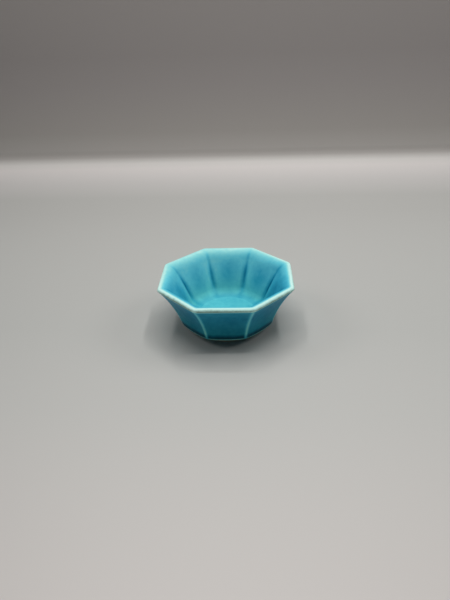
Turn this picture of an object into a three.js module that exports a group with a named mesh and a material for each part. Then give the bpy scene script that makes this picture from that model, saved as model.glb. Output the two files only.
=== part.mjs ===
// Small octagonal bowl of glazed pottery: a flared eight-sided clay body with a creased inside and a round
// floor, a round foot ring luted under it, and a glaze in three coats that meet the clay face to face.
// Millimetres, +Z up. The origin is the middle of the resting face, and four of the eight sides are square
// to X and Y. An eight-sided outline is given by its apothem, the distance from the axis to a side.
import * as THREE from "three";

// Clay body, outside
const SIDES = 8;
const BODY_HEIGHT = 34.5; // resting face to the clay's lip crest
const LIP_APOTHEM = 41.8;
const LIP_ROUND_WIDTH = 1.2; // rounded top of the lip, outside its crest
const LIP_ROUND_DROP = 1.3;
const WALL_FOOT_APOTHEM = 28.8; // where the wall starts to turn under
const WALL_FOOT_HEIGHT = 6.2;
const FOOT_SWELL = 0.42; // how far the sides are swelled to a circle at the wall's foot, as a share
const SWELL_RISE = 8.0; // from the wall's foot up to where the sides are flat
const OUTER_BOW = 3.0; // how far the flared wall is drawn in from a straight slope
const BOW_RISE = 1.5; // how far above its middle the wall is drawn in most
const UNDERSIDE_APOTHEM = 25.2; // flat underside between the turned edge and the foot ring
const LIP_CORNER_RADIUS = 3.4;
const RIDGE_RADIUS = 1.4; // outside corners of the wall

// Clay body, inside
const SHOULDER_WIDTH = 6.8; // lip crest to the top of the inner wall, inwards
const SHOULDER_DROP = 4.8;
const INNER_FOOT_APOTHEM = 24.7; // where the inner wall meets the cove
const INNER_FOOT_HEIGHT = 11.7;
const INNER_BOW = 1.0;
const FLOOR_RADIUS = 18.6;
const FLOOR_HEIGHT = 7.3; // resting face to the clay floor
const FLOOR_EDGE_RISE = 1.1; // the cove ends on the floor at a blunt edge, aimed this much above it
const INNER_CORNER_RADIUS = 5.0;
const SIDE_DISH = 0.3; // how far an inner side is hollowed at its middle
const CREASE_DEPTH = 1.0; // line pressed into each inner corner, from nothing at the lip crest
const CREASE_TOP_REACH = 0.8; // half of the crease's width near the lip, and further down
const CREASE_REACH = 1.4;
const CREASE_FULL = 0.6; // full depth from here, as a share of the height from the crest to the cove
const CREASE_FADE = 0.85; // and fading from here, to run out in the cove
const CREASE_END = 1.15;

// Foot ring
const FOOT_HEIGHT = 4.3; // resting face to the underside of the body
const FOOT_TOP_RADIUS = 24.1;
const FOOT_BASE_RADIUS = 23.7;
const FOOT_BASE_WIDTH = 3.0;
const FOOT_TOP_WIDTH = 3.8;
const FOOT_EDGE_ROUND = 0.6;

// Glaze, as thickness over the clay
const COAT_ON_LIP = 0.2;
const COAT_ON_OUTSIDE = 0.32;
const COAT_ON_RIDGE = 0.14;
const COAT_ON_INNER_WALL = 0.36;
const COAT_IN_CREASE = 0.65;
const COAT_ON_COVE = 0.5;
const COAT_ON_FLOOR = 0.6;
const COAT_ON_FOOT = 0.26;
const COAT_EDGE = 0.12; // thin end of a coat
const COAT_END_HEIGHT = 0.9; // bare clay between the resting face and the coats
const COAT_CORNER_REACH = 1.6; // how far from a corner the coat is thinned or pooled

// Fineness of the mesh
const STEPS_PER_SIDE = 8;
const CORNER_CROWDING = 1.7; // above 1, the steps round a side lie closer near its corners
const WALL_STEPS = 6;
const TURN_STEPS = 3;

const HALF_SIDE = Math.PI / SIDES;
const CREST_APOTHEM = LIP_APOTHEM - LIP_ROUND_WIDTH;

const mix = (a, b, t) => a + (b - a) * t;
const smooth = (t) => t * t * (3 - 2 * t);
const hump = (distance, reach) => Math.exp(-((distance / reach) ** 2));

// A station is one ring round the axis: its apothem and height, the radius of its corners, and how far the
// sides are swelled, the crease is pressed and the sides are dished there. The swell is a share of the way to
// the circle through the corners, and the crease a share of its full depth. coat is the glaze over the sides
// and cornerCoat the glaze over the corners.
function station(apothem, height, corner, shape = {}) {
  return { apothem, height, corner, swell: 0, crease: 0, dish: 0, coat: 0, cornerCoat: 0, ...shape };
}

// A round station: its corners are as large as the ring, so its outline is a circle.
function roundStation(radius, height, coat = 0) {
  return station(radius, height, radius, { coat, cornerCoat: coat });
}

// A slope between two points, drawn in from the straight line.
function bowedSlope(foot, top, bow, rise) {
  const along = top.clone().sub(foot).normalize();
  const inward = new THREE.Vector2(-along.y, along.x);
  const control = foot.clone().lerp(top, 0.5).addScaledVector(inward, bow).addScaledVector(along, rise);
  return new THREE.QuadraticBezierCurve(foot, control, top);
}

// A turn that leaves a slope along its own direction and ends level, or short of level where it has a rise.
function levelTurn(start, direction, end, rise = 0) {
  const height = end.y + rise;
  const lean = (direction.x / direction.y) * (height - start.y);
  const control = new THREE.Vector2(start.x + lean, height);
  return new THREE.QuadraticBezierCurve(start, control, end);
}

// Distance from the axis to a regular outline with round corners, at an angle from its nearest corner.
function outlineRadius(angle, apothem, corner) {
  const centre = (apothem - corner) / Math.cos(HALF_SIDE);
  const tangent = Math.atan2(corner * Math.sin(HALF_SIDE), centre + corner * Math.cos(HALF_SIDE));
  if (angle >= tangent) return apothem / Math.cos(HALF_SIDE - angle);
  return centre * Math.cos(angle) + Math.sqrt(corner ** 2 - (centre * Math.sin(angle)) ** 2);
}

// Directions round the axis, with the same steps on each side and the first on a corner.
function roundDirections() {
  const directions = [];
  for (let side = 0; side < SIDES; side++) {
    for (let step = 0; step < STEPS_PER_SIDE; step++) {
      const fromCorner = step / STEPS_PER_SIDE;
      const toNearest = Math.min(fromCorner, 1 - fromCorner);
      const crowded = 0.5 * (2 * toNearest) ** CORNER_CROWDING;
      const share = fromCorner <= 0.5 ? crowded : 1 - crowded;
      const turn = (side + 0.5 + share) * 2 * HALF_SIDE;
      directions.push({ turn, angle: 2 * HALF_SIDE * crowded });
    }
  }
  return directions;
}

const DIRECTIONS = roundDirections();

// The coat's outward direction at a station, from the profile before and after it. It is longer than one at
// a sharp bend, so that a coat over the bend stays parallel to both stretches.
function coatDirection(before, here, after) {
  const normals = [];
  for (const [from, to] of [[before, here], [here, after]]) {
    if (!from || !to) continue;
    const along = new THREE.Vector2(to.apothem - from.apothem, to.height - from.height).normalize();
    normals.push(new THREE.Vector2(along.y, -along.x));
  }
  const sum = normals[0].clone().add(normals.at(-1));
  return sum.divideScalar(1 + normals[0].dot(normals.at(-1)));
}

// The points of one station round the axis: on the clay, or on the glaze over it.
function ringPoints(here, outward, glazed) {
  return DIRECTIONS.map(({ turn, angle }) => {
    const flat = outlineRadius(angle, here.apothem, here.corner);
    const outline = mix(flat, outlineRadius(0, here.apothem, here.corner), here.swell);
    const fromCorner = outline * angle;
    const toMiddle = Math.sin((Math.PI / 2) * (angle / HALF_SIDE)) ** 2;
    const creaseReach = mix(CREASE_TOP_REACH, CREASE_REACH, here.crease);
    const pressed = CREASE_DEPTH * here.crease * hump(fromCorner, creaseReach);
    const radius = outline + pressed + here.dish * toMiddle;
    const coat = glazed
      ? mix(here.coat, here.cornerCoat, hump(fromCorner, COAT_CORNER_REACH))
      : 0;
    const reach = Math.max(0, radius + coat * outward.x);
    return new THREE.Vector3(
      reach * Math.cos(turn),
      reach * Math.sin(turn),
      here.height + coat * outward.y,
    );
  });
}

// All the rings of a profile, as clay or as the glaze over it.
function rings(profile, glazed = false) {
  return profile.map((here, i) =>
    ringPoints(here, coatDirection(profile[i - 1], here, profile[i + 1]), glazed),
  );
}

// One closed body from its rings, in order from its underside outwards, up, and back over the top. It
// starts and ends with a point on the axis, or else its last ring joins its first. Each four-cornered face
// is split along its shorter diagonal, so that two bodies with the same rings meet without a gap.
function bodyFromRings(ringList) {
  const points = [];
  const numbered = ringList.map((ring) => {
    const first = points.length;
    const onAxis = ring[0].distanceTo(ring[1]) === 0;
    points.push(...(onAxis ? ring.slice(0, 1) : ring));
    return ring.map((_, i) => (onAxis ? first : first + i));
  });
  if (numbered[0][0] !== numbered[0][1]) numbered.push(numbered[0]);
  const index = [];
  const addFace = (...corners) => {
    if (new Set(corners).size === 3) index.push(...corners);
  };
  numbered.slice(1).forEach((next, row) => {
    const ring = numbered[row];
    ring.forEach((a, i) => {
      const j = (i + 1) % ring.length;
      const [b, c, d] = [ring[j], next[j], next[i]];
      if (points[a].distanceToSquared(points[c]) < points[b].distanceToSquared(points[d])) {
        addFace(a, b, c);
        addFace(a, c, d);
      } else {
        addFace(a, b, d);
        addFace(b, c, d);
      }
    });
  });
  const body = new THREE.BufferGeometry().setFromPoints(points).setIndex(index);
  body.computeVertexNormals();
  return body;
}

// How far the sides of the wall are swelled at a height.
function swellShare(height) {
  return FOOT_SWELL * (1 - THREE.MathUtils.smoothstep(height - WALL_FOOT_HEIGHT, 0, SWELL_RISE));
}

// The outside of the clay body from the edge of its flat underside up to just under the lip crest.
function outsideProfile() {
  const wallFoot = new THREE.Vector2(WALL_FOOT_APOTHEM, WALL_FOOT_HEIGHT);
  const lipEdge = new THREE.Vector2(LIP_APOTHEM, BODY_HEIGHT - LIP_ROUND_DROP);
  const slope = bowedSlope(wallFoot, lipEdge, OUTER_BOW, BOW_RISE);
  const underEdge = new THREE.Vector2(UNDERSIDE_APOTHEM, FOOT_HEIGHT);
  const under = levelTurn(wallFoot, slope.getTangent(0), underEdge);
  const foot = { swell: FOOT_SWELL, coat: COAT_ON_OUTSIDE, cornerCoat: COAT_ON_RIDGE };
  const profile = under
    .getPoints(TURN_STEPS)
    .reverse()
    .map((p) => station(p.x, p.y, RIDGE_RADIUS, foot));
  slope.getPoints(WALL_STEPS).slice(1).forEach((p, i) => {
    const up = smooth((i + 1) / WALL_STEPS);
    profile.push(
      station(p.x, p.y, mix(RIDGE_RADIUS, LIP_CORNER_RADIUS, up ** 2), {
        swell: swellShare(p.y),
        coat: mix(COAT_ON_OUTSIDE, COAT_ON_LIP, up ** 2),
        cornerCoat: mix(COAT_ON_RIDGE, COAT_ON_LIP, up ** 2),
      }),
    );
  });
  for (let i = 1; i < TURN_STEPS; i++) {
    const turn = (i / TURN_STEPS) * (Math.PI / 2);
    const apothem = CREST_APOTHEM + LIP_ROUND_WIDTH * Math.cos(turn);
    const height = BODY_HEIGHT - LIP_ROUND_DROP * (1 - Math.sin(turn));
    profile.push(
      station(apothem, height, LIP_CORNER_RADIUS, { coat: COAT_ON_LIP, cornerCoat: COAT_ON_LIP }),
    );
  }
  return profile;
}

// The lip crest, which the inside and the outside share.
function crestStation() {
  return station(CREST_APOTHEM, BODY_HEIGHT, LIP_CORNER_RADIUS, {
    coat: COAT_ON_LIP,
    cornerCoat: COAT_ON_LIP,
  });
}

// How far the crease is pressed at a height, as a share of its full depth.
function creaseShare(height) {
  const down = (BODY_HEIGHT - height) / (BODY_HEIGHT - INNER_FOOT_HEIGHT);
  const begun = THREE.MathUtils.smoothstep(down, 0, CREASE_FULL);
  return begun * (1 - THREE.MathUtils.smoothstep(down, CREASE_FADE, CREASE_END));
}

// The inside of the clay body from just inside the lip crest, over the shoulder, down the wall and round
// the cove to the middle of the floor, where the eight sides have run out into a circle.
function insideProfile() {
  const innerFoot = new THREE.Vector2(INNER_FOOT_APOTHEM, INNER_FOOT_HEIGHT);
  const shoulderFoot = new THREE.Vector2(CREST_APOTHEM - SHOULDER_WIDTH, BODY_HEIGHT - SHOULDER_DROP);
  const slope = bowedSlope(innerFoot, shoulderFoot, INNER_BOW, 0);
  const crest = new THREE.Vector2(CREST_APOTHEM, BODY_HEIGHT);
  const shoulder = levelTurn(shoulderFoot, slope.getTangent(1), crest);
  const floorEdge = new THREE.Vector2(FLOOR_RADIUS, FLOOR_HEIGHT);
  const cove = levelTurn(innerFoot, slope.getTangent(0), floorEdge, FLOOR_EDGE_RISE);
  const profile = [];
  shoulder.getPoints(TURN_STEPS + 1).reverse().slice(1).forEach((p, i) => {
    const down = smooth((i + 1) / (TURN_STEPS + 1));
    const coat = mix(COAT_ON_LIP, COAT_ON_INNER_WALL, down);
    const crease = creaseShare(p.y);
    profile.push(
      station(p.x, p.y, mix(LIP_CORNER_RADIUS, INNER_CORNER_RADIUS, down), {
        crease,
        coat,
        cornerCoat: mix(coat, COAT_IN_CREASE, crease),
      }),
    );
  });
  slope.getPoints(WALL_STEPS).reverse().slice(1).forEach((p, i) => {
    const down = (i + 1) / WALL_STEPS;
    const crease = creaseShare(p.y);
    profile.push(
      station(p.x, p.y, INNER_CORNER_RADIUS, {
        crease,
        dish: SIDE_DISH * Math.sin(Math.PI * down),
        coat: COAT_ON_INNER_WALL,
        cornerCoat: mix(COAT_ON_INNER_WALL, COAT_IN_CREASE, crease),
      }),
    );
  });
  cove.getPoints(TURN_STEPS + 1).slice(1).forEach((p, i) => {
    const down = smooth((i + 1) / (TURN_STEPS + 1));
    const coat = mix(COAT_ON_COVE, COAT_ON_FLOOR, down);
    const crease = creaseShare(p.y);
    profile.push(
      station(p.x, p.y, mix(INNER_CORNER_RADIUS, p.x, down), {
        crease,
        coat,
        cornerCoat: mix(coat, COAT_IN_CREASE, crease),
      }),
    );
  });
  profile.push(roundStation(0, FLOOR_HEIGHT, COAT_ON_FLOOR));
  return profile;
}

// The outer side of the foot ring between the coat's end and the body, as far as the glaze covers it.
function footOutside() {
  const endShare = COAT_END_HEIGHT / FOOT_HEIGHT;
  return [
    roundStation(mix(FOOT_BASE_RADIUS, FOOT_TOP_RADIUS, endShare), COAT_END_HEIGHT, COAT_EDGE),
    roundStation(mix(FOOT_BASE_RADIUS, FOOT_TOP_RADIUS, (endShare + 1) / 2),
      mix(COAT_END_HEIGHT, FOOT_HEIGHT, 0.5), COAT_ON_FOOT),
    roundStation(FOOT_TOP_RADIUS, FOOT_HEIGHT, COAT_ON_FOOT),
  ];
}

// The inner side of the foot ring, from the body down to the coat's end.
function footInside() {
  const top = FOOT_TOP_RADIUS - FOOT_TOP_WIDTH;
  const base = FOOT_BASE_RADIUS - FOOT_BASE_WIDTH;
  const endShare = COAT_END_HEIGHT / FOOT_HEIGHT;
  return [
    roundStation(top, FOOT_HEIGHT, COAT_ON_FOOT),
    roundStation(mix(base, top, (endShare + 1) / 2), mix(COAT_END_HEIGHT, FOOT_HEIGHT, 0.5), COAT_ON_FOOT),
    roundStation(mix(base, top, endShare), COAT_END_HEIGHT, COAT_EDGE),
  ];
}

function clayBody() {
  const profile = [
    roundStation(0, FOOT_HEIGHT),
    ...outsideProfile(),
    crestStation(),
    ...insideProfile(),
  ];
  return bodyFromRings(rings(profile));
}

function footRing() {
  const base = [
    roundStation(FOOT_BASE_RADIUS - FOOT_BASE_WIDTH + FOOT_EDGE_ROUND, 0),
    roundStation(FOOT_BASE_RADIUS - FOOT_EDGE_ROUND, 0),
  ];
  return bodyFromRings(rings([...base, ...footOutside(), ...footInside()]));
}

// The poured coat inside: its clay side from the floor up to the crest, then its own face back down.
function insideGlaze() {
  const profile = [crestStation(), ...insideProfile()];
  const lower = outsideProfile().at(-1);
  const whole = [lower, ...profile];
  const clay = rings(whole).slice(1);
  const face = rings(whole, true).slice(1);
  return bodyFromRings([...clay.reverse(), ...face]);
}

// The dipped coat outside: its own face from the foot up to the crest, then its clay side back down.
function outsideGlaze() {
  const profile = [...footOutside(), ...outsideProfile(), crestStation()];
  const whole = [...profile, insideProfile()[0]];
  const face = rings(whole, true).slice(0, -1);
  const clay = rings(whole).slice(0, -1);
  return bodyFromRings([...face, ...clay.reverse()]);
}

// The coat in the foot well: its own face from the middle out and down the ring, then its clay side back.
function footWellGlaze() {
  const profile = [roundStation(0, FOOT_HEIGHT, COAT_ON_FOOT), ...footInside()];
  const face = rings(profile, true);
  const clay = rings(profile);
  return bodyFromRings([...face, ...clay.reverse()]);
}

const clay = new THREE.MeshStandardMaterial({ color: 0xe6dfd0, roughness: 0.85, metalness: 0 });
const bareFoot = new THREE.MeshStandardMaterial({ color: 0xd9cfbc, roughness: 0.9, metalness: 0 });
const glazeInside = new THREE.MeshStandardMaterial({ color: 0x3fa9bd, roughness: 0.22, metalness: 0 });
const glazeOutside = new THREE.MeshStandardMaterial({ color: 0x2f9ab0, roughness: 0.22, metalness: 0 });
const glazeWell = new THREE.MeshStandardMaterial({ color: 0x4fb3c0, roughness: 0.25, metalness: 0 });

const bowl = new THREE.Group();
for (const [name, geometry, material] of [
  ["clay_body", clayBody(), clay],
  ["foot_ring", footRing(), bareFoot],
  ["inside_glaze", insideGlaze(), glazeInside],
  ["outside_glaze", outsideGlaze(), glazeOutside],
  ["foot_well_glaze", footWellGlaze(), glazeWell],
]) {
  const mesh = new THREE.Mesh(geometry, material);
  mesh.name = name;
  bowl.add(mesh);
}

export default bowl;
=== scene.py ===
"""Looks of a small octagonal bowl of turquoise-glazed pottery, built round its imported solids.

Sizes are written in millimetres and built in metres, +Z up, with the middle of the foot's resting face at
the origin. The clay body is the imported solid. The glaze over it, the foot ring and the glaze in the foot
well are modelled here in finer meshes, at the same sizes.
"""

from __future__ import annotations

import logging
import math
from dataclasses import dataclass
from enum import Enum
from typing import Any, Callable, Iterable, Sequence

import bmesh
import bpy
from mathutils import Matrix, Vector


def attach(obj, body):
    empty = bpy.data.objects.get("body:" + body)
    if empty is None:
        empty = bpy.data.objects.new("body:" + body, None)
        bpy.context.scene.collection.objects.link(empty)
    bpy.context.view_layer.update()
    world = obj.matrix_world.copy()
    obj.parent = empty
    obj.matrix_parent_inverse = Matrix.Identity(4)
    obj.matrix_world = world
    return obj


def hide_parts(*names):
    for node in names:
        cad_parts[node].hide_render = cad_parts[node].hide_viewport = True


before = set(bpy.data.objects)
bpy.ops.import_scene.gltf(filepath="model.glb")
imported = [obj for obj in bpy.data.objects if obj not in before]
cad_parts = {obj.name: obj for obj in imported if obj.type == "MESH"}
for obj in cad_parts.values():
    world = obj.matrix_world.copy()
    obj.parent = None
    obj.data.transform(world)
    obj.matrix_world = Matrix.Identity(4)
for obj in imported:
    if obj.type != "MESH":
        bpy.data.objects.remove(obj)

LOG = logging.getLogger("octagonal_bowl")
MM = 0.001
SIDES = 8
HALF_SIDE = math.pi / SIDES
# The tone on the glaze's vertices: how deep the glaze is, with painted light and shade mixed in.
TONE = "glaze_tone_with_painted_light"
COAT = "coat_thickness"
# How far a corner's own coat reaches beside it, and how near counts as on a line, in millimetres.
CORNER_REACH = 1.6
SLACK = 0.01
# The least rise of a level face's normal, and what noise comes to on average.
LEVEL = 0.9
NOISE_MIDDLE = 0.5
Pair = tuple[float, float]
# Colours on the screen, 0 to 255, at places along a ramp.
ScreenStops = tuple[tuple[float, tuple[int, int, int]], ...]


class Body(Enum):
    """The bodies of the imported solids."""

    ROOT = "root"


class Slot(Enum):
    """The material slots that the new pieces' finishes belong to."""

    FOOT_CLAY = "foot_clay"
    GLAZE_INSIDE = "glaze_inside"
    GLAZE_WELL = "glaze_well"


class Pick(Enum):
    """What a selection in edit mode is made of."""

    EDGE = "EDGE"
    FACE = "FACE"


def mix(a: float, b: float, share: float) -> float:
    """Return the value that lies at a share of the way from a to b."""
    return a + (b - a) * share


def ease(share: float) -> float:
    """Return a share that is kept between 0 and 1 and eased at both its ends."""
    kept = min(1.0, max(0.0, share))
    return kept * kept * (3 - 2 * kept)


def ease_over(span: Pair, value: float) -> float:
    """Return how far a value has come over a span, from 0 to 1, eased at both its ends."""
    start, end = span
    return ease((value - start) / (end - start))


def hump(distance: float, reach: float) -> float:
    """Return a bell curve that is 1 at no distance and fades beyond its reach."""
    return math.exp(-((distance / reach) ** 2))


def linear(red: float, green: float, blue: float) -> tuple[float, float, float, float]:
    """Turn a colour written in 0 to 255 for the screen into linear light.

    Args:
        red: The red of the colour, 0 to 255.
        green: The green of the colour.
        blue: The blue of the colour.

    Returns:
        The colour as linear red, green, blue and a full alpha.
    """

    def light(level: float) -> float:
        """Turn one level into linear light, by the screen's standard curve."""
        share = level / 255
        return share / 12.92 if share <= 0.04045 else ((share + 0.055) / 1.055) ** 2.4

    return (light(red), light(green), light(blue), 1.0)


@dataclass(frozen=True)
class Station:
    """One ring of a wall round the bowl's axis, in millimetres.

    An eight-sided ring is given by its apothem, the distance from the axis to a side. A ring whose corner
    radius is as large as its apothem is a circle. The swell is how far the sides are brought out towards
    the circle through the corners, from 0 to 1. Its light_drift is how much of the bowl's painted light and
    shade it takes.
    """

    apothem: float
    height: float
    corner: float
    swell: float = 0.0
    crease: float = 0.0
    crease_width: float = 1.0
    dish: float = 0.0
    coat: float = 0.0
    corner_coat: float = 0.0
    tone: float = 0.5
    flank_tone: float = 0.5
    corner_tone: float = 0.5
    tone_reach: float = 1.0
    light_drift: float = 0.0

    @property
    def place(self) -> Vector:
        """The station's place in the bowl's profile."""
        return Vector((self.apothem, self.height))

    def outline(self, angle: float) -> float:
        """Return the outline's distance from the axis, uncreased, at an angle from the nearest corner."""
        return mix(self._flat_outline(angle), self._flat_outline(0.0), self.swell)

    def _flat_outline(self, angle: float) -> float:
        """Return the distance from the axis to the outline with flat sides.

        Args:
            angle: The direction, as an angle from the nearest corner.

        Returns:
            The distance in millimetres.
        """
        centre = (self.apothem - self.corner) / math.cos(HALF_SIDE)
        rise, run = self.corner * math.sin(HALF_SIDE), self.corner * math.cos(HALF_SIDE)
        tangent = math.atan2(rise, centre + run)
        if angle >= tangent:
            return self.apothem / math.cos(HALF_SIDE - angle)
        reach = self.corner**2 - (centre * math.sin(angle)) ** 2
        return centre * math.cos(angle) + math.sqrt(max(reach, 0.0))


def even_station(
    apothem: float, height: float, corner: float, coat: float, tone: float, light_drift: float = 0.0
) -> Station:
    """Return a station with the same coat and the same tone all round.

    Args:
        apothem: The apothem of the clay, in millimetres.
        height: The height of the ring.
        corner: The radius of its corners. As large as the apothem, it makes a circle.
        coat: The thickness of the glaze.
        tone: How deep the glaze looks, from 0, pale, to 1, deep.
        light_drift: How much of the bowl's painted light and shade it takes.

    Returns:
        The station.
    """
    coats = {"coat": coat, "corner_coat": coat}
    tones = {"tone": tone, "flank_tone": tone, "corner_tone": tone}
    return Station(apothem, height, corner, light_drift=light_drift, **coats, **tones)


@dataclass(frozen=True)
class LightDrift:
    """Painted light and shade over the bowl, as tone for a millimetre to the right and to the back.

    It paints the right side deeper, the back paler and the front deeper, as light and shade. The curve is
    for a square millimetre to the back. It is never above its most.
    """

    right: float = 0.0018
    back: float = -0.0072
    back_curve: float = 0.00005
    most: float = 0.17

    def at(self, place: Vector) -> float:
        """Return the painted shade at a place, given in metres, as tone to add; below 0 it is painted
        light.
        """
        x, y = place.x / MM, place.y / MM
        return min(self.most, self.right * x + self.back * y + self.back_curve * y * y)


def bend(start: Vector, control: Vector, end: Vector, steps: int) -> list[tuple[float, Vector]]:
    """Return points along a quadratic curve from end to end, each after its share of the way."""
    shares = [i / steps for i in range(steps + 1)]
    return [(t, start * (1 - t) ** 2 + control * (2 * t * (1 - t)) + end * t**2) for t in shares]


def bowed_slope(foot: Vector, top: Vector, bow: float, rise: float) -> Vector:
    """Return the control point of a slope that is drawn in from the straight line.

    Args:
        foot: The lower end of the slope.
        top: Its upper end.
        bow: How far the control point lies in from the line.
        rise: How far it lies above the line's middle, along the line.

    Returns:
        The control point.
    """
    along = (top - foot).normalized()
    inward = Vector((-along.y, along.x))
    return foot.lerp(top, 0.5) + inward * bow + along * rise


def level_control(start: Vector, direction: Vector, height: float) -> Vector:
    """Return the control point of a turn that leaves start along a direction and ends level."""
    lean = direction.x / direction.y * (height - start.y)
    return Vector((start.x + lean, height))


class Workpiece:
    """A mesh object under the maker's hands in edit mode, shaped by operators on chosen elements."""

    def __init__(self, name: str, primitive: Callable[..., Any], **settings: Any) -> None:
        """Add a primitive and open it for editing, with nothing else selected.

        Args:
            name: The name of the finished piece.
            primitive: The operator that adds the primitive.
            settings: The operator's settings.
        """
        if bpy.context.object and bpy.context.object.mode == "EDIT":
            bpy.ops.object.mode_set(mode="OBJECT")
        bpy.ops.object.select_all(action="DESELECT")
        primitive(**settings)
        self.body = bpy.context.active_object
        self.body.name = name
        self.body.data.name = name
        bpy.ops.object.mode_set(mode="EDIT")

    @property
    def mesh(self) -> bmesh.types.BMesh:
        """The edit mesh, with its look-up tables ready."""
        mesh = bmesh.from_edit_mesh(self.body.data)
        for table in (mesh.verts, mesh.edges, mesh.faces):
            table.ensure_lookup_table()
        return mesh

    def refresh(self, rebuilt: bool = False) -> None:
        """Pass a change of the selection or of a layer on, or of the mesh's make-up if it was rebuilt."""
        bmesh.update_edit_mesh(self.body.data, loop_triangles=rebuilt, destructive=rebuilt)

    def choose(self, pick: Pick, test: Callable[[Any], bool]) -> None:
        """Select the elements that pass a test, and nothing else.

        Args:
            pick: Whether edges or faces are tested.
            test: Says of one element whether it is wanted.
        """
        bpy.ops.mesh.select_mode(type=pick.value)
        bpy.ops.mesh.select_all(action="DESELECT")
        mesh = self.mesh
        for element in mesh.edges if pick is Pick.EDGE else mesh.faces:
            if test(element):
                element.select_set(True)
        self.refresh()

    def choose_all(self) -> None:
        """Select every face."""
        self.choose(Pick.FACE, lambda face: True)

    def move(self, x: float, y: float, z: float) -> None:
        """Move the selection by millimetres."""
        bpy.ops.transform.translate(value=(x * MM, y * MM, z * MM))

    def widen(self, factor: float) -> None:
        """Scale the selection away from the bowl's axis, at its own height."""
        bpy.ops.transform.resize(value=(factor, factor, 1.0), center_override=(0.0, 0.0, 0.0))

    def turn(self, angle: float) -> None:
        """Turn the selection anticlockwise about the bowl's axis."""
        bpy.ops.transform.rotate(value=-angle, orient_axis="Z", center_override=(0.0, 0.0, 0.0))

    def face_out(self, top_up: bool = True) -> None:
        """Turn all faces the same way round.

        Args:
            top_up: Whether the highest face is to face up, or else down.
        """
        self.choose_all()
        bpy.ops.mesh.normals_make_consistent(inside=False)
        top = max(self.mesh.faces, key=lambda face: face.calc_center_median().z)
        if (top.normal.z > 0) != top_up:
            bpy.ops.mesh.flip_normals()

    def finish(self) -> bpy.types.Object:
        """Close edit mode and shade the piece smooth.

        Returns:
            The finished piece.
        """
        bpy.ops.object.mode_set(mode="OBJECT")
        bpy.ops.object.shade_smooth()
        return self.body

    def modify(self, kind: str, name: str, settings: dict[str, Any]) -> None:
        """Add a modifier to the piece and apply it.

        Args:
            kind: The modifier's type.
            name: A name for it.
            settings: Its settings, by their names.
        """
        if self.body.mode == "EDIT":
            bpy.ops.object.mode_set(mode="OBJECT")
        modifier = self.body.modifiers.new(name, kind)
        for setting, value in settings.items():
            setattr(modifier, setting, value)
        bpy.ops.object.modifier_apply(modifier=name)


def settle(work: Workpiece, finish: Finish, slot: Slot, nodes: Sequence[str]) -> None:
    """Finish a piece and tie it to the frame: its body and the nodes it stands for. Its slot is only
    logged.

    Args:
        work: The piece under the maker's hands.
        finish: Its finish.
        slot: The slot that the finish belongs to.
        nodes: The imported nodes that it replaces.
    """
    piece = work.finish()
    piece.data.materials.append(finish.material())
    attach(piece, Body.ROOT.value)
    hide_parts(*nodes)
    faces = len(piece.data.polygons)
    LOG.info("%s: %d faces, slot %s, for %s", piece.name, faces, slot.value, ", ".join(nodes))


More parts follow.
